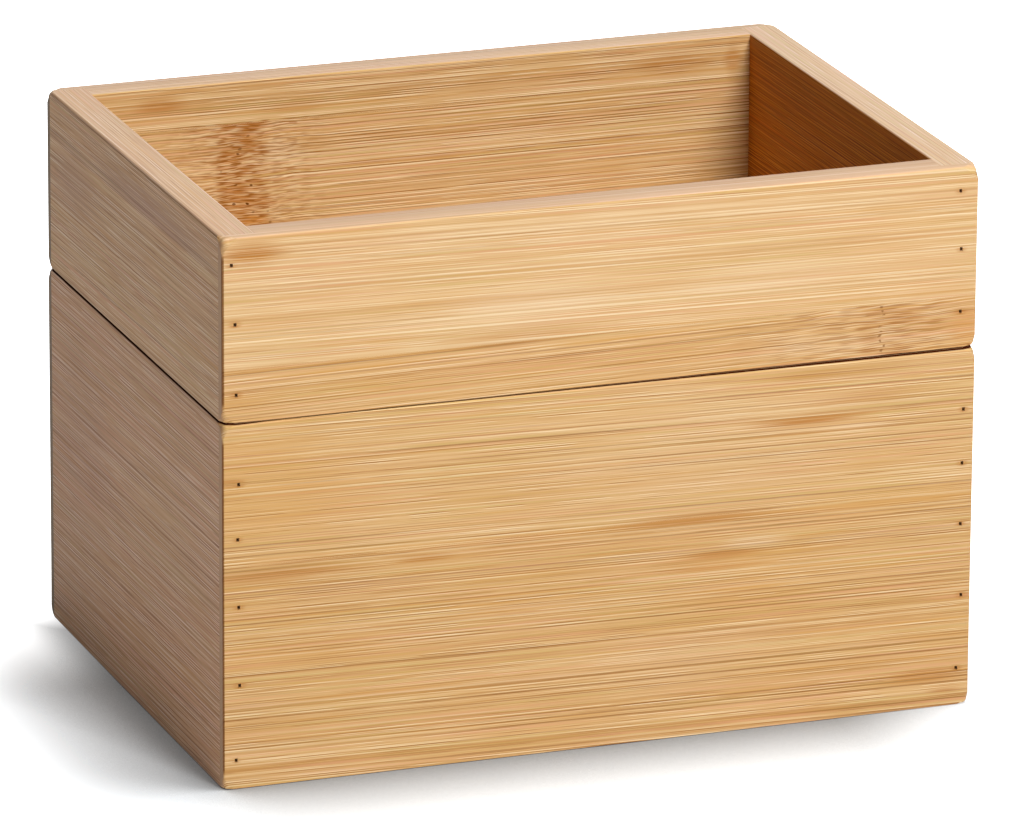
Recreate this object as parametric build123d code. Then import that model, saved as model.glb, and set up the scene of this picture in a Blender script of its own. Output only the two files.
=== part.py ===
from build123d import *
import math
import os

# A two-part card box of solid bamboo boards: a deep base, and an open tray of the same footprint
# that stands on the base as its lid and lifts straight off.
#
# Both parts are made the same way. The front and back boards run the full width and are rabbeted
# at their ends, and the ends of the side boards sit in those rabbets, glued and pinned with brads
# that go through the thin tongue into end grain. A floor is let into the walls from below. Under
# the tray's floor a locating board drops between the base's walls.
#
# Millimetres. +X runs along the front, -Y is the front and +Z is up. The origin is the centre of
# the base's footprint, on the surface that the box stands on.

# Outside sizes
box_width = 210.0
box_depth = 150.0
base_height = 100.0
tray_height = 50.0

# Boards and corner joints
wall_thick = 10.0
tongue_thick = 3.0          # what the end rabbets leave of the front and back boards

# Sanding
base_arris = 0.6            # radius along the base's outer edges
tray_arris = 0.8            # along the tray's
mouth_ease = 0.6            # along the inner top edges
rim_corner = 2.2            # radius that a hand has worn each of the tray's top corners to
seam_corner = 1.8           # the same where the tray meets the base
foot_corner = 1.5           # and at the base's feet
corner_run = 3.0            # how far along each edge the worn corner fades out

# Floors
ledge_width = 4.0           # how far a floor reaches under the walls
base_floor_thick = 5.0
base_floor_recess = 0.5     # the walls alone touch the table
tray_floor_thick = 4.0
tray_floor_recess = 0.3     # the tray's walls alone bear on the base's rim
floor_gap = 0.15            # clearance round a floor in its rabbet

# Locating board under the tray
locating_drop = 3.0         # how far it reaches below the tray's walls
locating_gap = 0.5          # clearance to the base's walls, all round
locating_lead = 0.8         # chamfer round its lower edge

# Brads, of flattened wire without heads
brad_thick = 0.8
brad_width = 1.0
corner_brad_length = 18.0
floor_brad_length = 14.0
brad_set = 0.8              # how far each head is driven below the surface
floor_brad_counts = (3, 2)  # along the front and along the back, and along each side

# Each corner's brads were set by eye: each pair holds a share of brad_inset and one of the height
brad_inset = 4.0            # about how far from the side face they are
base_left_brad_shares = ((0.88, 0.08), (1.13, 0.285), (1.08, 0.5), (1.03, 0.685), (1.1, 0.835))
base_right_brad_shares = ((0.93, 0.105), (0.68, 0.31), (0.83, 0.51), (0.8, 0.68), (0.78, 0.83))
tray_left_brad_shares = ((0.95, 0.155), (0.88, 0.535), (0.65, 0.855))
tray_right_brad_shares = ((1.15, 0.205), (1.18, 0.55), (1.3, 0.87))

# What follows from them
inner_width = box_width - 2 * wall_thick
inner_depth = box_depth - 2 * wall_thick

LEFT, RIGHT = -1, 1
FRONT, BACK = -1, 1


def standing(width, depth, height, x=0.0, y=0.0, z=0.0):
    """A box whose underside is centred on (x, y, z)."""
    return Pos(x, y, z + height / 2) * Box(width, depth, height)


def worn_corner(radius):
    """What a hand sands off a corner at the origin, of a block that lies along +X, +Y and +Z: the corner
    becomes a ball, and a cone along each edge opens until it clears the edge."""
    size = radius + corner_run
    blank = Pos(size / 2, size / 2, size / 2) * Box(size, size, size)
    ball = fillet(blank.edges().sort_by_distance((0, 0, 0))[:3], radius)
    fade = Pos(0, 0, corner_run / 2) * Cone(radius, math.sqrt(2) * radius, corner_run)
    centre = Pos(radius, radius, radius)
    fades = [centre * turn * fade for turn in (Rot(), Rot(0, 90, 0), Rot(-90, 0, 0))]
    return blank - ball - fades


def sanded_block(height, arris, low_corner, high_corner):
    """The outer form: every edge eased by arris, and the corners worn rounder than the edges."""
    block = standing(box_width, box_depth, height)
    block = fillet(block.edges(), arris)
    tools = [
        Pos(-box_width / 2, -box_depth / 2, 0) * worn_corner(low_corner),
        Pos(-box_width / 2, -box_depth / 2, height) * mirror(worn_corner(high_corner), Plane.XY),
    ]
    for plane in (Plane.YZ, Plane.XZ):
        tools += [mirror(tool, plane) for tool in tools]
    return block - tools


def wall_ring(height, sanding, rabbet_height):
    """All four walls of a part as one ring, from which each board is then cut."""
    ring = sanded_block(height, *sanding) - standing(inner_width, inner_depth, height)
    rim = ring.faces().sort_by(Axis.Z)[-1]
    ring = fillet(rim.inner_wires()[0].edges(), mouth_ease)
    ledge = standing(inner_width + 2 * ledge_width, inner_depth + 2 * ledge_width, rabbet_height)
    return ring - ledge


def long_blank(face, height):
    """A front or back board before shaping: full width, with a rabbet at each end."""
    blank = standing(box_width, wall_thick, height, y=face * (box_depth - wall_thick) / 2)
    rabbet_depth = wall_thick - tongue_thick
    rabbet_y = face * (box_depth / 2 - tongue_thick - rabbet_depth / 2)
    for side in (LEFT, RIGHT):
        rabbet_x = side * (box_width - wall_thick) / 2
        blank -= standing(wall_thick, rabbet_depth, height, rabbet_x, rabbet_y)
    return blank


def side_blank(side, height):
    """A side board before shaping: it runs from tongue to tongue."""
    length = box_depth - 2 * tongue_thick
    return standing(wall_thick, length, height, x=side * (box_width - wall_thick) / 2)


def corner_rods(side, face, places, height, start, length):
    """Rods along Y through a corner joint, one at each place, from a depth start below the face."""
    y = face * (box_depth / 2 - start - length / 2)
    rod = Box(brad_thick, length, brad_width)
    return [
        Pos(side * (box_width / 2 - inset * brad_inset), y, level * height) * rod
        for inset, level in places
    ]


def corner_brads(side, face, places, height):
    return corner_rods(side, face, places, height, brad_set, corner_brad_length)


def corner_holes(side, face, places, height):
    return corner_rods(side, face, places, height, 0.0, brad_set + corner_brad_length)


def spread(length, count):
    """Evenly spaced places along a length that is centred on zero."""
    return [length * ((i + 0.5) / count - 0.5) for i in range(count)]


def floor_rods(start, length):
    """Upright rods over the middle of the ledge, all round, from height start upwards."""
    x_ledge = (inner_width + ledge_width) / 2
    y_ledge = (inner_depth + ledge_width) / 2
    xs = spread(inner_width, floor_brad_counts[0])
    ys = spread(inner_depth, floor_brad_counts[1])
    places = [(x, face * y_ledge) for face in (FRONT, BACK) for x in xs]
    places += [(side * x_ledge, y) for side in (LEFT, RIGHT) for y in ys]
    rod = standing(brad_thick, brad_width, length, z=start)
    return [Pos(x, y, 0) * rod for x, y in places]


def floor_board(thick, recess):
    """A floor, seated against the ledge of its rabbet."""
    fit = 2 * (ledge_width - floor_gap)
    return standing(inner_width + fit, inner_depth + fit, thick, z=recess)


def locating_board():
    """Glued under the tray's floor, so that the tray can't slide off the base."""
    width = inner_width - 2 * locating_gap
    depth = inner_depth - 2 * locating_gap
    board = standing(width, depth, locating_drop + tray_floor_recess, z=-locating_drop)
    return chamfer(board.faces().sort_by(Axis.Z)[0].edges(), locating_lead)


def boxed_part(name, height, sanding, floor_thick, floor_recess, left_brads, right_brads):
    """The nodes of the base or the tray, standing on Z = 0. sanding: its arris and corner radii."""
    ring = wall_ring(height, sanding, floor_recess + floor_thick)
    rows = {
        (side, face): (side, face, places, height)
        for side, places in ((LEFT, left_brads), (RIGHT, right_brads))
        for face in (FRONT, BACK)
    }
    holes = [hole for row in rows.values() for hole in corner_holes(*row)]
    holes += floor_rods(floor_recess, brad_set + floor_brad_length)
    blanks = {
        "front_board": long_blank(FRONT, height),
        "back_board": long_blank(BACK, height),
        "left_board": side_blank(LEFT, height),
        "right_board": side_blank(RIGHT, height),
    }
    nodes = {name + "_" + board: (ring & blank) - holes for board, blank in blanks.items()}
    nodes[name + "_floor"] = floor_board(floor_thick, floor_recess) - holes
    corner_names = {
        (LEFT, FRONT): "front_left",
        (RIGHT, FRONT): "front_right",
        (LEFT, BACK): "back_left",
        (RIGHT, BACK): "back_right",
    }
    for key, row in rows.items():
        nodes[name + "_brads_" + corner_names[key]] = corner_brads(*row)
    nodes[name + "_floor_brads"] = floor_rods(floor_recess + brad_set, floor_brad_length)
    return nodes


def as_shape(solids):
    """One shape of a node: a group of brads is kept as separate solids."""
    return Compound(children=list(solids)) if isinstance(solids, list) else solids


def build():
    """Every node in its place."""
    base = boxed_part(
        "base", base_height, (base_arris, foot_corner, seam_corner),
        base_floor_thick, base_floor_recess, base_left_brad_shares, base_right_brad_shares,
    )
    tray = boxed_part(
        "tray", tray_height, (tray_arris, seam_corner, rim_corner),
        tray_floor_thick, tray_floor_recess, tray_left_brad_shares, tray_right_brad_shares,
    )
    tray["tray_locating_board"] = locating_board()
    nodes = {node: as_shape(solids) for node, solids in base.items()}
    for node, solids in tray.items():
        nodes[node] = Pos(0, 0, base_height) * as_shape(solids)
    return nodes


os.makedirs("parts", exist_ok=True)
for node, shape in build().items():
    export_step(shape, "parts/" + node + ".step")
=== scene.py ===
import math

import bpy
from mathutils import Matrix, Vector


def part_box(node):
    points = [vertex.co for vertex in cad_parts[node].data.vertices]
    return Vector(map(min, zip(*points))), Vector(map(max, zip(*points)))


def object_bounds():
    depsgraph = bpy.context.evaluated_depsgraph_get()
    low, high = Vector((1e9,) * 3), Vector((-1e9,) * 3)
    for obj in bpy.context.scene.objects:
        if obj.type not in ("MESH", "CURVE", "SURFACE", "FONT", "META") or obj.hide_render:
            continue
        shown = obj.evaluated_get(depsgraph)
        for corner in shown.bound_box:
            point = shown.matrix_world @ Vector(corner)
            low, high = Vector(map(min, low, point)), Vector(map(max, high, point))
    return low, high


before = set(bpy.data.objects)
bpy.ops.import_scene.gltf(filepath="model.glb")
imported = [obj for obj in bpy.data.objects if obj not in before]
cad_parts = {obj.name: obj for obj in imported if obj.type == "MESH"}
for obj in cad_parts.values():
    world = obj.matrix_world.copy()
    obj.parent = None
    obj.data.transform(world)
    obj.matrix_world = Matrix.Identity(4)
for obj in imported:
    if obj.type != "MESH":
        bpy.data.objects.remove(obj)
cad_box = [list(corner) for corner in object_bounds()]

MM = 0.001

# ---------------------------------------------------------------- camera

# The camera looks at the middle of the box from the front left, from well above it and far off.
CAMERA_AZIMUTH = -20.147
CAMERA_ELEVATION = 17.758
CAMERA_ROLL = 0.365
CAMERA_DISTANCE = 2.574
CAMERA_RIGHT = 1.8 * MM         # how far the line of sight passes beside the box's middle
CAMERA_UP = -6.4 * MM
SENSOR_WIDTH = 36.0
LENS_PER_SENSOR = 9.350         # focal length over sensor width
CLIP_END = 20.0                 # farther away than the floor's corners


def aim(azimuth, elevation, roll=0.0):
    """Axes of a camera or lamp that looks back at the origin: right, up and towards itself."""
    a, e, r = (math.radians(angle) for angle in (azimuth, elevation, roll))
    back = Vector((math.sin(a) * math.cos(e), -math.cos(a) * math.cos(e), math.sin(e)))
    right = Vector((0, 0, 1)).cross(back).normalized()
    up = back.cross(right)
    turned_right = right * math.cos(r) + up * math.sin(r)
    turned_up = up * math.cos(r) - right * math.sin(r)
    return turned_right, turned_up, back


def place(obj, at, right, up, back):
    """Puts obj at a point with its own X, Y and Z along right, up and back."""
    turn = Matrix((right, up, back)).transposed().to_4x4()
    obj.matrix_world = Matrix.Translation(at) @ turn


low, high = (Vector(corner) for corner in cad_box)
middle = (low + high) / 2

camera = bpy.data.objects.new("camera", bpy.data.cameras.new("camera"))
bpy.context.scene.collection.objects.link(camera)
bpy.context.scene.camera = camera
camera.data.sensor_width = SENSOR_WIDTH
camera.data.lens = LENS_PER_SENSOR * SENSOR_WIDTH
camera.data.clip_end = CLIP_END
right, up, back = aim(CAMERA_AZIMUTH, CAMERA_ELEVATION, CAMERA_ROLL)
camera_at = middle + back * CAMERA_DISTANCE + right * CAMERA_RIGHT + up * CAMERA_UP
place(camera, camera_at, right, up, back)

# ---------------------------------------------------------------- light

WHITE = (1.0, 1.0, 1.0)
KEY_AT = (10.0, 28.0)           # azimuth and elevation
KEY_WATTS = 35.0
OVERHEAD_AT = (60.0, 78.0)
OVERHEAD_WATTS = 23.0
LAMP_SIZE = 0.5
LAMP_DISTANCE = 2.0
BACKDROP_AT = (160.0, 20.0)     # the white sweep behind the box
BACKDROP_EDGE = (0.7, 0.95)     # cosines of the angles from its middle at which it starts and is whole
BACKDROP_STRENGTH = 1.8
ROOM_STRENGTH = 0.02            # everything else round the box


def softbox(name, azimuth, elevation, watts):
    """A square area light that faces the middle of the box."""
    lamp = bpy.data.objects.new(name, bpy.data.lights.new(name, "AREA"))
    bpy.context.scene.collection.objects.link(lamp)
    lamp.data.shape = "SQUARE"
    lamp.data.size = LAMP_SIZE
    lamp.data.energy = watts
    right, up, back = aim(azimuth, elevation)
    place(lamp, middle + back * LAMP_DISTANCE, right, up, back)


def surroundings():
    """A dim white room with a bright backdrop behind the box."""
    world = bpy.data.worlds.new("studio")
    bpy.context.scene.world = world
    world.use_nodes = True
    tree = world.node_tree
    where = tree.nodes.new("ShaderNodeTexCoord")
    facing = tree.nodes.new("ShaderNodeVectorMath")
    facing.operation = "DOT_PRODUCT"
    facing.inputs[1].default_value = aim(*BACKDROP_AT)[2]
    glow = tree.nodes.new("ShaderNodeMapRange")
    glow.interpolation_type = "SMOOTHSTEP"
    glow.inputs["From Min"].default_value = BACKDROP_EDGE[0]
    glow.inputs["From Max"].default_value = BACKDROP_EDGE[1]
    glow.inputs["To Min"].default_value = ROOM_STRENGTH
    glow.inputs["To Max"].default_value = BACKDROP_STRENGTH
    tree.links.new(where.outputs["Generated"], facing.inputs[0])
    tree.links.new(facing.outputs["Value"], glow.inputs["Value"])
    tree.links.new(glow.outputs["Result"], tree.nodes["Background"].inputs["Strength"])
    tree.nodes["Background"].inputs["Color"].default_value = (*WHITE, 1.0)


def studio():
    """Two softboxes in the white room."""
    surroundings()
    softbox("key", *KEY_AT, KEY_WATTS)
    softbox("overhead", *OVERHEAD_AT, OVERHEAD_WATTS)
    bpy.context.scene.view_settings.view_transform = "Standard"


# ---------------------------------------------------------------- shader nodes


class Graph:
    """Adds nodes to one material. Each call takes plain values or sockets and returns a socket."""

    def __init__(self, name):
        self.material = bpy.data.materials.new(name)
        self.material.use_nodes = True
        self.tree = self.material.node_tree
        self.shader = self.tree.nodes["Principled BSDF"]

    def add(self, kind, settings=None, **inputs):
        """Adds a node; an underscore stands for a space in the name of an input."""
        node = self.tree.nodes.new(kind)
        for key, value in (settings or {}).items():
            setattr(node, key, value)
        for key, value in inputs.items():
            self.put(node.inputs[key.replace("_", " ")], value)
        return node

    def put(self, socket, value):
        if isinstance(value, bpy.types.NodeSocket):
            self.tree.links.new(value, socket)
        else:
            socket.default_value = value

    def math(self, operation, a, b=0.0):
        node = self.add("ShaderNodeMath", {"operation": operation})
        self.put(node.inputs[0], a)
        self.put(node.inputs[1], b)
        return node.outputs[0]

    def plus(self, a, b):
        return self.math("ADD", a, b)

    def minus(self, a, b):
        return self.math("SUBTRACT", a, b)

    def times(self, a, b):
        return self.math("MULTIPLY", a, b)

    def size(self, value):
        return self.math("ABSOLUTE", value)

    def mean(self, a, b):
        return self.plus(self.times(a, 0.5), self.times(b, 0.5))

    def chain(self, operation, terms):
        """All the terms joined by one operation."""
        result = terms[0]
        for term in terms[1:]:
            result = self.math(operation, result, term)
        return result

    def total(self, terms):
        return self.chain("ADD", terms)

    def step(self, value, start, end, low=0.0, high=1.0):
        """Smooth change from low to high as value goes from start to end."""
        node = self.add("ShaderNodeMapRange", {"interpolation_type": "SMOOTHSTEP"})
        for key, item in (("Value", value), ("From Min", start), ("From Max", end),
                          ("To Min", low), ("To Max", high)):
            self.put(node.inputs[key], item)
        return node.outputs["Result"]

    def vector(self, x, y, z):
        node = self.add("ShaderNodeCombineXYZ", X=x, Y=y, Z=z)
        return node.outputs[0]

    def noise(self, vector, detail=2.0, roughness=0.5):
        """Fractal noise, mostly between 0.3 and 0.7."""
        node = self.add(
            "ShaderNodeTexNoise", {"noise_dimensions": "3D"},
            Vector=vector, Scale=1.0, Detail=detail, Roughness=roughness,
        )
        return node.outputs["Fac"]

    def noise_along(self, value, detail, roughness):
        """The same along a line."""
        node = self.add(
            "ShaderNodeTexNoise", {"noise_dimensions": "1D"},
            W=value, Scale=1.0, Detail=detail, Roughness=roughness,
        )
        return node.outputs["Fac"]

    def clamp(self, value):
        return self.add("ShaderNodeClamp", Value=value).outputs[0]

    def mix(self, amount, a, b, blend="MIX"):
        node = self.add("ShaderNodeMix", {"data_type": "RGBA", "blend_type": blend})
        for socket, value in zip((node.inputs[0], node.inputs[6], node.inputs[7]), (amount, a, b)):
            self.put(socket, (*value, 1.0) if isinstance(value, tuple) else value)
        return node.outputs[2]

    def shade(self, amount, colour, left):
        """A colour of which only the share left stays, in each channel, where amount is 1."""
        return self.mix(amount, colour, self.mix(1.0, colour, left, "MULTIPLY"))

    def ramp(self, value, stops):
        """A colour from a row of them, each with its place from 0 to 1."""
        node = self.add("ShaderNodeValToRGB", Fac=value)
        elements = node.color_ramp.elements
        while len(elements) < len(stops):
            elements.new(0.5)
        for element, (at, colour) in zip(elements, stops):
            element.position = at
            element.color = (*colour, 1.0)
        return node.outputs["Color"]


def linear(red, green, blue):
    """A colour given as a screen shows it, 0 to 255, as the linear values that shaders take."""
    def one(value):
        value /= 255
        return value / 12.92 if value <= 0.04045 else ((value + 0.055) / 1.055) ** 2.4
    return one(red), one(green), one(blue)


# ---------------------------------------------------------------- bamboo

X, Y, Z = 0, 1, 2
LIT = 1.6                       # how much brighter than its albedo the studio shows a front face
SHEEN = 0.006                   # the white that a front face reflects on top of that
SATIN_IOR = 1.2                 # a thin dull lacquer reflects little
SATIN_ROUGHNESS = 0.42
BAND_ROUGHNESS = 0.12           # what the bands in the wood add to it
SEAM_SHADE_ROUGHNESS = 0.5            # and the painted shade in the seam
PORE_STRENGTH = 0.12
PORE_DEPTH = 0.1 * MM


def wood(red, green, blue):
    """Albedo of wood that looks this colour on the lit front."""
    return tuple(max(0.0, (value - SHEEN) / LIT) for value in linear(red, green, blue))


FIBRES = (                      # from the darkest fibres to the palest
    (0.0, wood(166, 112, 60)),
    (0.25, wood(198, 147, 90)),
    (0.5, wood(220, 173, 115)),
    (0.75, wood(236, 196, 142)),
    (1.0, wood(255, 226, 182)),
)
BROWN_LINE = wood(142, 86, 40)
PALE_LINE = wood(255, 230, 188)
HONEY = wood(220, 164, 92)
UMBER = wood(194, 126, 56)
ORANGE = wood(218, 146, 70)
CREAM = wood(244, 208, 166)
ROSE = wood(230, 170, 124)
STRAW = wood(214, 178, 108)
MAUVE = wood(190, 144, 112)
KNUCKLE = wood(188, 118, 50)
DASH = wood(162, 98, 38)
CRACK = wood(150, 98, 50)
PIT = wood(112, 62, 22)
END_GRAIN = wood(196, 150, 112)
END_GRAIN_SHARE = 0.8           # how much of it shows on the ends of the boards

# What is left of the wood's colour under painted shade on the left-facing arrises and in the seam, and
# how much brighter the painted highlights beside the seam and on the upper front edges are
ARRIS_PAINTED_SHADE = (0.42, 0.3, 0.2)
SEAM_PAINTED_SHADE = (0.1, 0.02, 0.0)
SEAM_GLINT = (1.25, 1.25, 1.25)
EDGE_PAINTED_HIGHLIGHT = (1.12, 1.14, 1.08)

# How far apart in the noise the patterns of two boards, of two strips and of two draws are
BOARD_APART = 7.31
STRIP_APART = 5.17
DRAW_APART = 3.7
THREADS_FARTHER = 11.0          # how many times farther the threads are apart than the fibres
FIBRE_ROUGHNESS = 0.6
THREAD_ROUGHNESS = 0.8

# Steps in noise: where each starts and ends, and what it goes from and to
HERE_AND_THERE = (0.35, 0.65)
TINGED = (0.46, 0.7, 0.0, 0.3)
STREAKED = (0.4, 0.56, 0.2, 1.1)
PATCHY = (0.4, 0.6, 0.3, 1.0)
PALE_DASHES = (0.54, 0.68, 0.0, 0.35)
DARK_DASHES = (0.5, 0.36)
DOTTED = (0.45, 0.55, 0.0)      # and to the strength of the crack
LINES = (                       # in the noise of the lines and in that of their groups, trait, colour
    ((0.38, 0.26), (0.38, 0.6, 0.2, 1.0), "brown", BROWN_LINE),
    ((0.6, 0.72), (0.62, 0.4, 0.2, 1.0), "light", PALE_LINE),
)

JOINT_BLUR = 0.1 * MM           # half the width of the glue line between two strips
CLOUD_EDGE = (1.0, 0.2, 0.0)    # from the end of a cloud to where it is whole, and from what
CLOUD_FRAY = 0.22               # how uneven its edge is
WAVY_BEFORE = 0.2               # shares of a knuckle's reach that are as wavy as its middle
WAVY_AFTER = 0.4
KNUCKLE_CORE = 4.5 * MM         # how far its stain reaches from the middle, and again to fade
CRACK_CORE = 0.2 * MM           # half the width of the crack in its middle
CRACK_FADE = 0.4 * MM
PIT_LONG = 0.55                 # mm from a pit's middle to its end
PIT_TALL = 0.4                  # mm from there to its upper edge
PIT_EDGE = (1.0, 0.6, 0.0)
PIT_FRAY = 0.3

# Steps from one kind of surface to another, by a component of the normal
TO_OUTSIDE = (-0.5, 0.5)        # outward
TO_TOP = (0.6, 0.8)             # upward
TO_END = (0.55, 0.9)            # along the grain, either way
TO_LEFT_END = (-0.3, -0.6)      # to the right
OFF_FACES = (0.99, 0.95)        # the largest of the three: 1 on a face, less on an arris
OFF_CORNERS = (0.26, 0.1)       # the smallest: 0 on an arris, more on a worn corner
PAINTED_SHADE_LEFT = (-0.15, -0.35)   # to the right
PAINTED_SHADE_LESS_ABOVE = (0.2, 0.5, 1.0, 0.45)  # upward
SUNNY_ABOVE = (0.25, 0.5)       # upward, from an upright face to a slope
SUNNY_BELOW_TOP = (0.97, 0.85)  # upward, from the top to a slope
SUNNY_FRONT = (-0.1, -0.35)     # backward
SEAM_OUTSIDE = (-0.3, -0.1)     # outward

PAINTED_SHADE_STARTS = 4 * MM           # from a board's top or foot to where its upright arris carries painted shade
PAINTED_SHADE_WHOLE = 6 * MM
RIM_PAINTED_LIGHT = (1 * MM, 8 * MM, 1.1, 0.92)  # painted light: brightness of the front and back boards' tops, front to back
RIM_CALM = {X: 0.6, Y: 0.38}    # how much of the grain's contrast shows on a board's top, by its grain

# How far the painted shade reaches from the seam: two places along a board and the reach at each, by its
# grain
SEAM_REACH = {
    X: (-70 * MM, 90 * MM, 0.15 * MM, 0.42 * MM),
    Y: (-80 * MM, 80 * MM, 0.3 * MM, 0.34 * MM),
}
CORNER_REACH = (-90 * MM, -101 * MM, 0.0, 0.18 * MM)    # what the left-hand corners add to it
SEAM_SHADE_EDGE = (0.05 * MM, -0.1 * MM)
GLINT_OFF = 0.3 * MM            # from the end of the painted shade to the middle of the painted highlight
GLINT_CORE = 0.1 * MM
GLINT_FADE = 0.15 * MM


class Strip:
    """One of the strips that a board is glued up from: the height of its upper edge on the board, how
    pale and how honey-coloured it is, the slope of its grain, and how strong its fibres, its bands, and
    its brown and light lines are."""

    def __init__(self, top=1.0, pale=0.0, honey=0.0, slope=0.014, fine=1.0, coarse=1.0, brown=0.5,
                 light=0.3):
        self.top = top
        self.pale = pale
        self.honey = honey
        self.slope = slope
        self.fine = fine
        self.coarse = coarse
        self.brown = brown
        self.light = light


TRAITS = ("pale", "honey", "slope", "fine", "coarse", "brown", "light")


class Knuckle:
    """A node of the cane, where the fibres are short, wavy and stained: its place along the grain, the
    height on the board up to which it shows, how far it reaches before and after that place, how strong
    its stain and its cracks are, how long its dashes are, and its pits. Each pit has its place along the
    board, its height and its strength."""

    def __init__(self, at, high, before, after, stain, crack, dash_length, pits=()):
        self.at = at
        self.high = high
        self.before = before
        self.after = after
        self.stain = stain
        self.crack = crack
        self.dash_length = dash_length
        self.pits = pits


class Cloud:
    """A tinge in the wood: its middle along the grain and up the board and how far it reaches each way,
    all four in mm, its colour and its strength."""

    def __init__(self, along, height, long, tall, colour, strength):
        self.along = along * MM
        self.height = height * MM
        self.long = long * MM
        self.tall = tall * MM
        self.colour = colour
        self.strength = strength


class ToneAndPaintedLight:
    """What each of a board's faces leaves of its wood's colour: outside, inside, on its narrow top and
    on its left-hand end. The paler tops and the brighter or darker insides are painted light and shade.
    seam is the height on the board where the other part meets it, and glint how strong the painted
    highlight beside the seam is."""

    def __init__(self, outside=(1.0, 1.0, 1.0), inside=(1.0, 1.0, 1.0), rim=(1.0, 1.0, 1.0),
                 end=(1.0, 1.0, 1.0), seam=0.0, glint=0.5):
        self.outside = outside
        self.inside = inside
        self.rim = rim
        self.end = end
        self.seam = seam
        self.glint = glint


class Look:
    """What sets one board apart: its strips from the lowest up, its knuckle, clouds, and its tones and
    painted light.
    """

    def __init__(self, strips=(Strip(),), knuckle=None, clouds=(), tone_and_light=ToneAndPaintedLight()):
        self.strips = strips
        self.knuckle = knuckle
        self.clouds = clouds
        self.tone_and_light = tone_and_light


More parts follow.
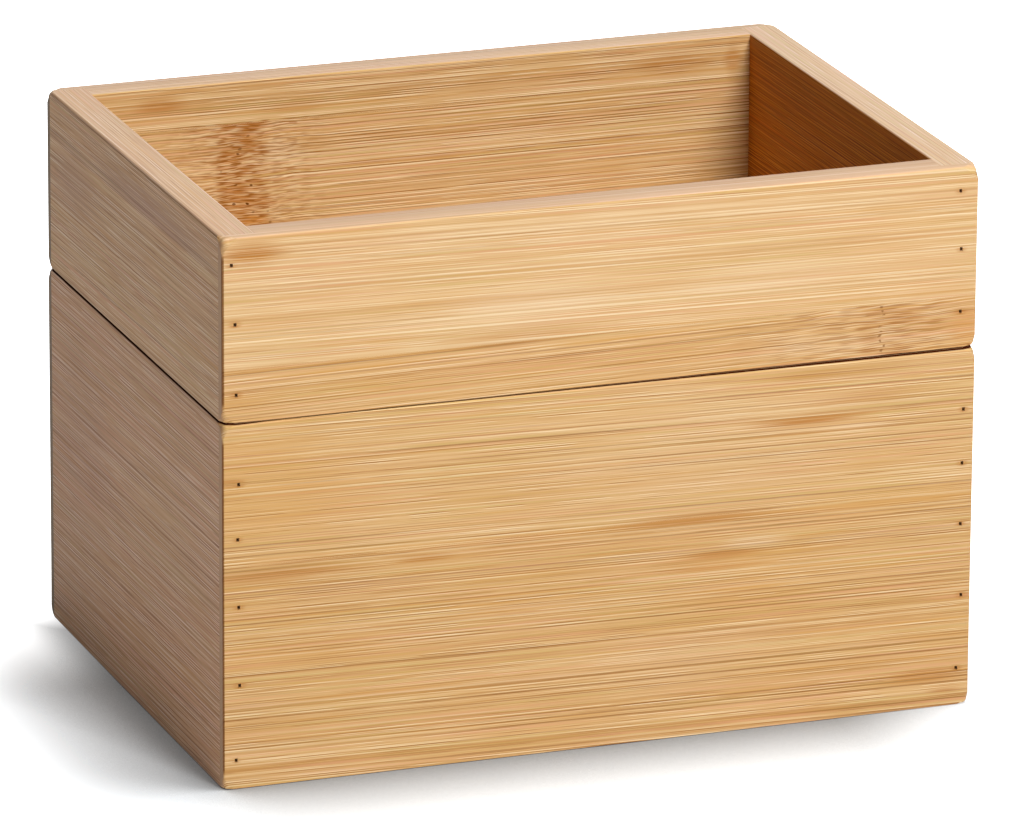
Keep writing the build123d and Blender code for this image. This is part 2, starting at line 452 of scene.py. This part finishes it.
class Bamboo(Graph):
    """Planed and lacquered bamboo with its grain along one axis and its height along another. outward is
    the sign of the board's outer face on the third axis, box is its lowest and highest corner, number
    picks the pattern, and halos are clouds on top of those of its look."""

    def __init__(self, name, grain, across, outward, box, number, look, halos=()):
        super().__init__(name)
        low, high = box
        where = self.add("ShaderNodeTexCoord")
        axes = self.add("ShaderNodeSeparateXYZ", Vector=where.outputs["Object"]).outputs
        self.facing = self.add("ShaderNodeSeparateXYZ", Vector=where.outputs["Normal"]).outputs
        thick = ({X, Y, Z} - {grain, across}).pop()
        self.grain = grain
        self.upright = thick != Z
        self.front = low.y
        self.tall = high[across] - low[across]
        self.along = axes[grain]
        self.height = self.minus(axes[across], low[across])
        self.deep = axes[thick]
        self.facing_out = self.times(self.facing[thick], outward)
        self.square_to = [self.size(part) for part in self.facing[:3]]
        self.calm = self.step(self.facing[Z], *TO_TOP, 1.0, RIM_CALM[grain]) if self.upright else 1.0
        self.draws = 0

        self.lay_strips(look.strips, number)
        self.lay_fibres(look.knuckle)
        self.lay_threads()
        colour = self.lined(self.clouded(self.tinged(self.grain_colour()), look.clouds + halos))
        if look.knuckle:
            colour = self.knuckled(colour, look.knuckle)
        colour = self.end_grain_and_face_light(colour, look.tone_and_light)
        seam_shade = 0.0
        if self.upright:
            colour, seam_shade = self.seamed(self.painted_edge_light(colour), look.tone_and_light)
        self.coat(colour, seam_shade)

    # Patterns: the rates are in features per metre

    def near(self, value, middle, core, fade):
        """1 within core of middle, falling to 0 over fade."""
        return self.step(self.size(self.minus(value, middle)), core, core + fade, 1.0, 0.0)

    def oval(self, cloud):
        """0 in the middle of a cloud and 1 where it ends."""
        spot = self.vector(self.along, self.height, 0.0)
        away = self.add("ShaderNodeVectorMath", {"operation": "SUBTRACT"})
        self.put(away.inputs[0], spot)
        away.inputs[1].default_value = (cloud.along, cloud.height, 0.0)
        scaled = self.add("ShaderNodeVectorMath", {"operation": "MULTIPLY"})
        self.put(scaled.inputs[0], away.outputs[0])
        scaled.inputs[1].default_value = (1 / cloud.long, 1 / cloud.tall, 0.0)
        distance = self.add("ShaderNodeVectorMath", {"operation": "LENGTH"}, Vector=scaled.outputs[0])
        return distance.outputs["Value"]

    def swing(self, value, amount):
        """Noise as a shift to either side, of about amount at its ends."""
        return self.times(self.minus(value, 0.5), 4 * amount)

    def stretched(self, side, along_rate, across_rate, detail):
        """Noise stretched along the grain. Each draw has a pattern of its own."""
        self.draws += 1
        spot = self.vector(
            self.plus(self.times(self.along, along_rate), self.start),
            self.plus(self.times(side, across_rate), self.draws * DRAW_APART),
            self.plus(self.times(self.deep, across_rate), self.draws),
        )
        return self.noise(spot, detail, FIBRE_ROUGHNESS)

    def blotches(self, along_rate, across_rate, detail=0.0):
        """Noise that keeps to the board's height."""
        return self.stretched(self.height, along_rate, across_rate, detail)

    def fibres(self, along_rate, across_rate, detail=0.0):
        """Noise that follows the fibres where they slope and wave."""
        return self.stretched(self.side, along_rate, across_rate, detail)

    def threads(self, rate, detail=0.0):
        """Noise across the fibres that keeps its course along the whole board."""
        self.draws += 1
        course = self.times(self.plus(self.side, self.deep), rate)
        start = self.times(self.start, THREADS_FARTHER)
        spot = self.total([course, start, self.draws * DRAW_APART])
        return self.noise_along(spot, detail, THREAD_ROUGHNESS)

    def fading(self, along_rate, across_rate, least=0.2):
        """How strongly threads show, here and there."""
        return self.step(self.fibres(along_rate, across_rate), *HERE_AND_THERE, least, 2.0 - least)

    # Wood

    def lay_strips(self, strips, number):
        """Finds the traits at each height, and starts a pattern of its own in each strip."""
        self.start = number * BOARD_APART
        self.traits = {key: getattr(strips[0], key) for key in TRAITS}
        for lower, strip in zip(strips, strips[1:]):
            above = self.step(self.height, lower.top - JOINT_BLUR, lower.top + JOINT_BLUR)
            self.start = self.plus(self.times(above, STRIP_APART), self.start)
            self.traits = {
                key: self.plus(self.times(above, getattr(strip, key) - getattr(lower, key)), value)
                for key, value in self.traits.items()
            }

    def lay_fibres(self, knuckle):
        """Bends the fibres, which are wavy and broken round a knuckle."""
        # every board makes this draw, though only a knuckle uses it
        ragged = self.plus(self.along, self.swing(self.blotches(40.0, 300.0, 2.0), 2.6 * MM))
        drift = self.swing(self.blotches(2.5, 6.0), 0.5 * MM)
        self.side = self.total([self.height, self.times(self.along, self.traits["slope"]), drift])
        if knuckle:
            ends = (knuckle.high - JOINT_BLUR, knuckle.high + JOINT_BLUR)
            self.knuckle_span = self.step(self.height, *ends, 1.0, 0.0)
            starts = (knuckle.at - knuckle.before, knuckle.at - WAVY_BEFORE * knuckle.before)
            stops = (knuckle.at + WAVY_AFTER * knuckle.after, knuckle.at + knuckle.after)
            here = self.times(self.step(self.along, *starts), self.step(self.along, *stops, 1.0, 0.0))
            self.wavy = self.times(self.knuckle_span, here)
            core = self.near(ragged, knuckle.at, KNUCKLE_CORE, KNUCKLE_CORE)
            self.stained = self.times(self.times(self.knuckle_span, core), knuckle.stain)
            waves = self.swing(self.blotches(70.0, 140.0, 1.0), 0.35 * MM)
            self.side = self.plus(self.side, self.times(self.wavy, waves))

    def lay_threads(self):
        """Draws the patterns that follow the fibres, and the streaks that they make."""
        self.broad = self.fibres(2.5, 60.0, 1.0)
        self.bands = self.threads(240.0, 1.0)
        self.cords = self.threads(900.0, 1.0)
        self.long_lines = self.threads(1500.0)
        self.short_lines = self.threads(2600.0)
        self.hairs = self.fibres(60.0, 3000.0)
        self.groups = self.fibres(10.0, 130.0, 1.0)
        self.streaks = self.step(self.mean(self.cords, self.short_lines), *STREAKED)

    def grain_colour(self):
        """Pale and dark fibres, from broad swells to hairs."""
        coarse = self.total([
            self.swing(self.broad, 0.03),
            self.times(self.swing(self.bands, 0.085), self.fading(8.0, 60.0)),
            self.times(self.swing(self.cords, 0.095), self.fading(20.0, 250.0)),
        ])
        fine = self.total([
            self.times(self.swing(self.short_lines, 0.18), self.fading(35.0, 600.0, 0.0)),
            self.times(self.swing(self.threads(3400.0), 0.2), self.fading(90.0, 900.0, 0.0)),
            self.swing(self.hairs, 0.08),
        ])
        coarse = self.times(coarse, self.traits["coarse"])
        fine = self.times(fine, self.traits["fine"])
        contrast = self.times(self.plus(coarse, fine), self.calm)
        return self.ramp(self.total([0.5, self.traits["pale"], contrast]), FIBRES)

    def tinged(self, colour):
        """Honey, rose and straw tinges that follow the threads."""
        for tinge, steady in ((HONEY, self.traits["honey"]), (ROSE, 0.0), (STRAW, 0.0)):
            threads = self.step(self.threads(900.0, 1.0), *TINGED)
            amount = self.times(threads, self.fading(25.0, 160.0, 0.0))
            colour = self.mix(self.clamp(self.plus(amount, steady)), colour, tinge)
        return colour

    def clouded(self, colour, clouds):
        """Clouds with frayed edges, in streaks."""
        frayed = self.swing(self.mean(self.cords, self.bands), CLOUD_FRAY)
        for cloud in clouds:
            there = self.step(self.plus(self.oval(cloud), frayed), *CLOUD_EDGE, cloud.strength)
            colour = self.mix(self.times(there, self.streaks), colour, cloud.colour)
        return colour

    def lined(self, colour):
        """Brown and light lines."""
        for lines, groups, trait, line_colour in LINES:
            there = self.times(self.step(self.long_lines, *lines), self.step(self.groups, *groups))
            amount = self.times(self.times(there, self.traits[trait]), self.calm)
            colour = self.mix(amount, colour, line_colour)
        return colour

    def knuckled(self, colour, knuckle):
        """The stain of a knuckle, its dashes, the crack in its middle and its pits."""
        patches = self.step(self.blotches(110.0, 260.0, 1.0), *PATCHY)
        colour = self.mix(self.times(self.stained, self.times(patches, self.streaks)), colour, KNUCKLE)
        dash_rate = 1 / knuckle.dash_length
        pale = self.step(self.fibres(0.7 * dash_rate, 2600.0), *PALE_DASHES)
        dark = self.step(self.fibres(dash_rate, 2800.0), *DARK_DASHES)
        colour = self.mix(self.times(self.wavy, pale), colour, PALE_LINE)
        darker = self.plus(self.times(self.wavy, 0.5), self.times(self.stained, 0.55))
        colour = self.mix(self.times(darker, dark), colour, DASH)
        wandering = self.plus(self.along, self.swing(self.blotches(40.0, 500.0), 0.6 * MM))
        crack = self.near(wandering, knuckle.at, CRACK_CORE, CRACK_FADE)
        dots = self.step(self.blotches(600.0, 1300.0), *DOTTED, knuckle.crack)
        colour = self.mix(self.times(self.times(self.knuckle_span, crack), dots), colour, CRACK)
        frayed = self.swing(self.blotches(900.0, 1800.0), PIT_FRAY)
        for along, height, strength in knuckle.pits:
            pit = Cloud(along, height, PIT_LONG, PIT_TALL, PIT, strength)
            there = self.step(self.plus(self.oval(pit), frayed), *PIT_EDGE, pit.strength)
            colour = self.mix(there, colour, pit.colour)
        return colour

    # Surface

    def end_grain_and_face_light(self, colour, tone_and_light):
        """The board's faces differ in tone and in painted light and shade, and its ends show end grain.
        """
        tint = self.mix(self.step(self.facing_out, *TO_OUTSIDE), tone_and_light.inside, tone_and_light.outside)
        if self.upright:
            rim = tone_and_light.rim
            if self.grain == X:
                # painted light: the top is brighter near its front edge and darker towards its back
                fade = self.step(self.minus(self.deep, self.front), *RIM_PAINTED_LIGHT)
                rim = self.mix(1.0, rim, self.vector(fade, fade, fade), "MULTIPLY")
            tint = self.mix(self.step(self.facing[Z], *TO_TOP), tint, rim)
        end = self.step(self.square_to[self.grain], *TO_END)
        colour = self.mix(self.times(end, END_GRAIN_SHARE), colour, END_GRAIN)
        left_end = self.times(end, self.step(self.facing[X], *TO_LEFT_END))
        return self.mix(1.0, colour, self.mix(left_end, tint, tone_and_light.end), "MULTIPLY")

    def painted_edge_light(self, colour):
        """Painted shade on the arrises that face left, away from the lamps, and a painted highlight on
        upper edges that face the front.
        """
        off_faces = self.step(self.chain("MAXIMUM", self.square_to), *OFF_FACES)
        off_corners = self.step(self.chain("MINIMUM", self.square_to), *OFF_CORNERS)
        arris = self.times(off_faces, off_corners)
        if self.grain == X:
            half = self.tall / 2
            off_middle = self.size(self.minus(self.height, half))
            whole = self.step(off_middle, half - PAINTED_SHADE_WHOLE, half - PAINTED_SHADE_STARTS, 1.0, 0.0)
            arris = self.times(arris, whole)
        left = self.step(self.facing[X], *PAINTED_SHADE_LEFT)
        leftward = self.times(left, self.step(self.facing[Z], *PAINTED_SHADE_LESS_ABOVE))
        # painted shade: arrises that face left, away from the lamps, are darkened
        colour = self.shade(self.times(arris, leftward), colour, ARRIS_PAINTED_SHADE)
        # painted highlight: upper edges that face the front are brightened
        above = self.step(self.facing[Z], *SUNNY_ABOVE)
        slanting = self.times(above, self.step(self.facing[Z], *SUNNY_BELOW_TOP))
        sunny = self.times(slanting, self.step(self.facing[Y], *SUNNY_FRONT))
        return self.shade(sunny, colour, EDGE_PAINTED_HIGHLIGHT)

    def seamed(self, colour, tone_and_light):
        """Painted shade in the seam between base and tray with a painted highlight beside it, and where
        that painted shade is.
        """
        reach = self.step(self.along, *SEAM_REACH[self.grain])
        if self.grain == X:
            reach = self.plus(reach, self.step(self.along, *CORNER_REACH))
        off = self.minus(self.size(self.minus(self.height, tone_and_light.seam)), reach)
        outer = self.step(self.facing_out, *SEAM_OUTSIDE)
        upright = self.times(outer, self.step(self.square_to[Z], *OFF_FACES))
        # painted highlight: the wood just beside the seam is brightened
        glint = self.times(self.near(off, GLINT_OFF, GLINT_CORE, GLINT_FADE), tone_and_light.glint)
        colour = self.shade(self.times(glint, upright), colour, SEAM_GLINT)
        # painted shade: the arrises at the seam between base and tray are darkened where shade falls
        seam_shade = self.times(self.step(off, *SEAM_SHADE_EDGE), upright)
        return self.shade(seam_shade, colour, SEAM_PAINTED_SHADE), seam_shade

    def coat(self, colour, seam_shade):
        """A dull lacquer over the colour, with open pores in it."""
        uneven = self.times(self.bands, BAND_ROUGHNESS)
        roughness = self.total([SATIN_ROUGHNESS, uneven, self.times(seam_shade, SEAM_SHADE_ROUGHNESS)])
        pores = self.plus(self.long_lines, self.short_lines)
        bump = self.add("ShaderNodeBump", Height=pores, Strength=PORE_STRENGTH, Distance=PORE_DEPTH)
        self.put(self.shader.inputs["Base Color"], colour)
        self.put(self.shader.inputs["Roughness"], roughness)
        self.put(self.shader.inputs["IOR"], SATIN_IOR)
        self.put(self.shader.inputs["Normal"], bump.outputs[0])


# ---------------------------------------------------------------- brads

RUST_SPOTS = 1500.0             # per metre
DARK_RUST = (0.03, 0.012, 0.002)
PALE_RUST = (0.08, 0.035, 0.01)
STEEL_ROUGHNESS = 0.6
RUST_ROUGHNESS = 0.2            # what the spots add to it


def rusty_steel():
    """The wire of the brads, tarnished under the lacquer."""
    g = Graph("brad_steel")
    where = g.add("ShaderNodeTexCoord").outputs["Object"]
    scaled = g.add("ShaderNodeVectorMath", {"operation": "SCALE"}, Vector=where, Scale=RUST_SPOTS)
    rust = g.noise(scaled.outputs[0])
    g.put(g.shader.inputs["Base Color"], g.mix(rust, DARK_RUST, PALE_RUST))
    g.put(g.shader.inputs["Roughness"], g.plus(STEEL_ROUGHNESS, g.times(rust, RUST_ROUGHNESS)))
    g.put(g.shader.inputs["IOR"], SATIN_IOR)
    return g.material


# ---------------------------------------------------------------- floor

FLOOR_SIZE = 12.0
FLOOR_WHITE = (0.9, 0.9, 0.9)
FLOOR_SEEN = (0.86, 0.9, 0.93)  # the same for the camera, cooler against the wood's warm reflection
FLOOR_BLACK = (0.0, 0.0, 0.0)
FLOOR_ROUGHNESS = 0.9
FLOOR_GLOW = 0.32
SHADOW_REACH = 45 * MM
SHADOW_POWER = 2.0
SHADOW_SAMPLES = 8

# Where the painted shadow on the floor fades out: from and to, and how much painted light comes in there
FADE_BEHIND = (10 * MM, 80 * MM, 0.08, 1.1)
FADE_RIGHT = (60 * MM, 115 * MM, 0.0, 0.65)
FADE_LEFT = (-104 * MM, -119 * MM, 0.3, 1.0)    # the share of FADE_BEHIND, out from the left face
CORNER_CLEAR = (50 * MM, 80 * MM)               # where that share is whole beside the face too


def floor():
    """A white sheet that glows a little, with a painted shadow close to whatever stands on it, seen by
    the camera only, and painted light where that shadow fades out.
    """
    mesh = bpy.data.meshes.new("floor")
    half = FLOOR_SIZE / 2
    corners = [(-half, -half, 0), (half, -half, 0), (half, half, 0), (-half, half, 0)]
    mesh.from_pydata(corners, [], [(0, 1, 2, 3)])
    ground = bpy.data.objects.new("floor", mesh)
    bpy.context.scene.collection.objects.link(ground)
    g = Graph("floor")
    near = g.add("ShaderNodeAmbientOcclusion", {"samples": SHADOW_SAMPLES}, Distance=SHADOW_REACH)
    seen = g.add("ShaderNodeLightPath").outputs["Is Camera Ray"]
    # painted shadow: the floor is darkened close to the box, for the camera only
    open_sky = g.math("POWER", near.outputs["AO"], g.times(seen, SHADOW_POWER))
    where = g.add("ShaderNodeTexCoord").outputs["Object"]
    x, y = g.add("ShaderNodeSeparateXYZ", Vector=where).outputs[:2]
    leftward = g.math("MAXIMUM", g.step(x, *FADE_LEFT), g.step(y, *CORNER_CLEAR))
    behind = g.times(g.step(y, *FADE_BEHIND), leftward)
    filled = g.times(seen, g.math("MAXIMUM", behind, g.step(x, *FADE_RIGHT)))
    white = g.mix(seen, FLOOR_WHITE, FLOOR_SEEN)
    g.put(g.shader.inputs["Base Color"], g.mix(open_sky, FLOOR_BLACK, white))
    g.put(g.shader.inputs["Roughness"], FLOOR_ROUGHNESS)
    g.put(g.shader.inputs["Emission Color"], (*WHITE, 1.0))
    g.put(g.shader.inputs["Emission Strength"], g.plus(g.times(open_sky, FLOOR_GLOW), filled))
    ground.data.materials.append(g.material)


# ---------------------------------------------------------------- boards

BASE_TOP = 100 * MM             # the height of the seam on the base's boards
BASE_SIDE = ToneAndPaintedLight((0.95, 0.87, 1.02), rim=(1.1, 1.12, 1.3), seam=BASE_TOP, glint=0.0)
TRAY_SIDE = (1.0, 0.97, 1.1)    # outside of the tray's side boards
TRAY_IN_PAINTED_LIGHT = (1.3, 1.33, 1.35)     # and inside of its boards: painted light, brighter where the light bounces about
BACK_END = (0.42, 0.47, 0.48)   # left-hand ends of the back boards, dark strips on the left face
BACK_PITS = (                   # mm along the board, mm up it, and strength
    (-58.7, 24.9, 0.3), (-53.9, 29.5, 0.8), (-53.4, 30.9, 0.6), (-51.0, 34.4, 0.5), (-50.2, 20.4, 0.9),
    (-54.5, 20.8, 0.5), (-55.1, 15.5, 0.8), (-51.3, 15.2, 1.0), (-49.6, 12.7, 0.5), (-45.3, 12.6, 0.4),
    (-44.7, 9.4, 0.5),
)
SIDE_STRIPS = (Strip(slope=0.004, fine=1.8, coarse=1.2, brown=0.4),)
# In each board's tones, rim paints its top paler and bluer and inside paints its insides brighter or
# darker: painted light and shade.
BOARDS = {
    "base_front_board": Look(
        strips=(
            Strip(61 * MM, honey=0.06, fine=0.85, coarse=0.95),
            Strip(pale=0.07, fine=0.85, coarse=0.95),
        ),
        clouds=(
            Cloud(-95, 82, 45, 26.0, HONEY, 0.55),
            Cloud(28, 80, 62, 22.0, CREAM, 0.28),
            Cloud(-40, 59, 60, 5.0, HONEY, 0.35),
            Cloud(80, 60, 45, 6.0, HONEY, 0.5),
            Cloud(35, 48, 32, 6.0, HONEY, 0.35),
            Cloud(-85, 37, 42, 7.0, HONEY, 0.4),
            Cloud(45, 37, 45, 7.0, HONEY, 0.35),
            Cloud(20, 22, 48, 12.0, CREAM, 0.28),
            Cloud(66, 97, 30, 2.5, UMBER, 0.45),
            Cloud(75, 89, 24, 3.0, UMBER, 0.35),
            Cloud(58, 84.5, 24, 2.2, UMBER, 0.8),
            Cloud(71, 81, 14, 1.8, CREAM, 0.6),
            Cloud(24, 60.5, 34, 2.6, UMBER, 0.75),
            Cloud(-90, 58, 34, 3.5, UMBER, 0.6),
            Cloud(-50, 58, 12, 1.6, UMBER, 0.5),
            Cloud(34, 50, 16, 1.8, UMBER, 0.6),
            Cloud(43, 52.5, 14, 2.2, CREAM, 0.6),
            Cloud(30, 46.5, 24, 2.0, UMBER, 0.3),
            Cloud(-103, 84, 6, 2.0, UMBER, 0.6),
            Cloud(92, 9, 16, 3.0, UMBER, 0.6),
            Cloud(98, 5, 9, 1.8, KNUCKLE, 0.6),
        ),
        tone_and_light=ToneAndPaintedLight((1.0, 1.02, 1.02), seam=BASE_TOP, glint=1.0),
    ),
    "base_back_board": Look(tone_and_light=ToneAndPaintedLight(end=BACK_END, seam=BASE_TOP)),
    "base_left_board": Look(
        strips=SIDE_STRIPS,
        clouds=(Cloud(-25, 55, 48, 20.0, STRAW, 0.4), Cloud(45, 60, 40, 40.0, MAUVE, 0.3)),
        tone_and_light=BASE_SIDE,
    ),
    "base_right_board": Look(SIDE_STRIPS, tone_and_light=BASE_SIDE),
    "tray_front_board": Look(
        strips=(
            Strip(14.5 * MM, pale=0.02, honey=0.24, slope=-0.008),
            Strip(pale=0.16, slope=0.016, fine=0.6, coarse=0.85, brown=0.2, light=0.6),
        ),
        knuckle=Knuckle(
            at=78 * MM, high=14.5 * MM, before=55 * MM, after=30 * MM, stain=0.25, crack=0.8,
            dash_length=9 * MM,
        ),
        clouds=(
            Cloud(0, 44, 110, 6.0, CREAM, 0.25),
            Cloud(45, 25, 38, 6.0, CREAM, 0.4),
            Cloud(-25, 16, 32, 5.0, UMBER, 0.3),
            Cloud(65, 6, 30, 5.0, CREAM, 0.25),
            Cloud(103, 6, 9, 8.0, ORANGE, 0.5),
            Cloud(92, 8, 7, 4.5, UMBER, 0.25),
            Cloud(85, 10.5, 7, 3.0, UMBER, 0.6),
            Cloud(-20, 24, 34, 8.0, CREAM, 0.5),
            Cloud(-97, 45, 13, 5.0, UMBER, 0.9),
        ),
        tone_and_light=ToneAndPaintedLight((1.02, 1.04, 1.08), rim=(1.08, 1.08, 1.36)),
    ),
    "tray_back_board": Look(
        strips=(
            Strip(38 * MM, pale=0.05, slope=0.0, fine=1.3, coarse=1.3),
            Strip(pale=0.05, slope=0.0, fine=1.3, coarse=1.3),
        ),
        knuckle=Knuckle(
            at=-53 * MM, high=38.5 * MM, before=30 * MM, after=30 * MM, stain=0.8, crack=0.0,
            dash_length=4 * MM, pits=BACK_PITS,
        ),
        clouds=(
            Cloud(-50.5, 36.5, 7, 2.6, KNUCKLE, 0.9),
            Cloud(-52, 33, 5, 2.4, UMBER, 0.6),
            Cloud(-56, 28, 6, 2.4, ORANGE, 0.9),
            Cloud(-55.5, 19, 7, 4.0, KNUCKLE, 0.9),
            Cloud(-50, 10.5, 6, 2.6, ORANGE, 1.0),
            Cloud(-42, 29.5, 7, 5.0, CREAM, 0.6),
            Cloud(-76, 45.5, 10, 3.5, UMBER, 0.6),
            Cloud(-38, 41, 14, 2.5, UMBER, 0.35),
            Cloud(72, 44, 14, 5.0, UMBER, 0.5),
            Cloud(90, 43, 3.5, 7.0, UMBER, 0.6),
        ),
        tone_and_light=ToneAndPaintedLight(inside=TRAY_IN_PAINTED_LIGHT, rim=(1.18, 1.27, 1.75), end=BACK_END),
    ),
    "tray_left_board": Look(
        strips=SIDE_STRIPS,
        clouds=(Cloud(-14, 42, 68, 5.0, MAUVE, 0.7), Cloud(50, 30, 30, 14.0, MAUVE, 0.4)),
        tone_and_light=ToneAndPaintedLight(TRAY_SIDE, inside=TRAY_IN_PAINTED_LIGHT, rim=(1.2, 1.31, 1.86)),
    ),
    "tray_right_board": Look(
        strips=SIDE_STRIPS,
        # painted shade: the inside of the right board is darker and more orange
        tone_and_light=ToneAndPaintedLight(TRAY_SIDE, inside=(1.3, 0.8, 0.18), rim=(1.3, 1.48, 2.2)),
    ),
}


# The rust-brown halo round a brad's head
HALO_LONG = 2.4                 # mm
HALO_TALL = 1.3
HALO_STRENGTH = 0.7
BRAD_REACH = 3 * MM             # more than a brad's width, and less than the way to the next one


def halos(node):
    """A halo round each brad that goes into a front or back board."""
    found = []
    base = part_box(node)[0].z
    for side in ("left", "right"):
        row = node.replace("board", side).replace("_", "_brads_", 1)
        corners = sorted((corner.co.z, corner.co.x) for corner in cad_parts[row].data.vertices)
        while corners:
            reach = corners[0][0] + BRAD_REACH
            brad = [corner for corner in corners if corner[0] < reach]
            corners = [corner for corner in corners if corner[0] >= reach]
            along = sum(x for z, x in brad) / len(brad)
            height = sum(z for z, x in brad) / len(brad) - base
            found.append(Cloud(along / MM, height / MM, HALO_LONG, HALO_TALL, UMBER, HALO_STRENGTH))
    return tuple(found)


def board(node, number):
    """The bamboo of one board or floor."""
    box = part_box(node)
    centre = (box[0] + box[1]) / 2
    look = BOARDS.get(node, Look())
    if node.endswith(("front_board", "back_board")):
        return Bamboo(node, X, Z, math.copysign(1, centre.y), box, number, look, halos(node))
    if node.endswith(("left_board", "right_board")):
        return Bamboo(node, Y, Z, math.copysign(1, centre.x), box, number, look)
    return Bamboo(node, X, Y, -1, box, number, look)


def paint(node, material):
    """Gives a CAD node its material, in the slots that it has."""
    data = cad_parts[node].data
    if not data.materials:
        data.materials.append(material)
    for i in range(len(data.materials)):
        data.materials[i] = material


studio()
floor()
steel = rusty_steel()
for number, node in enumerate(sorted(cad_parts)):
    paint(node, steel if "brads" in node else board(node, number).material)
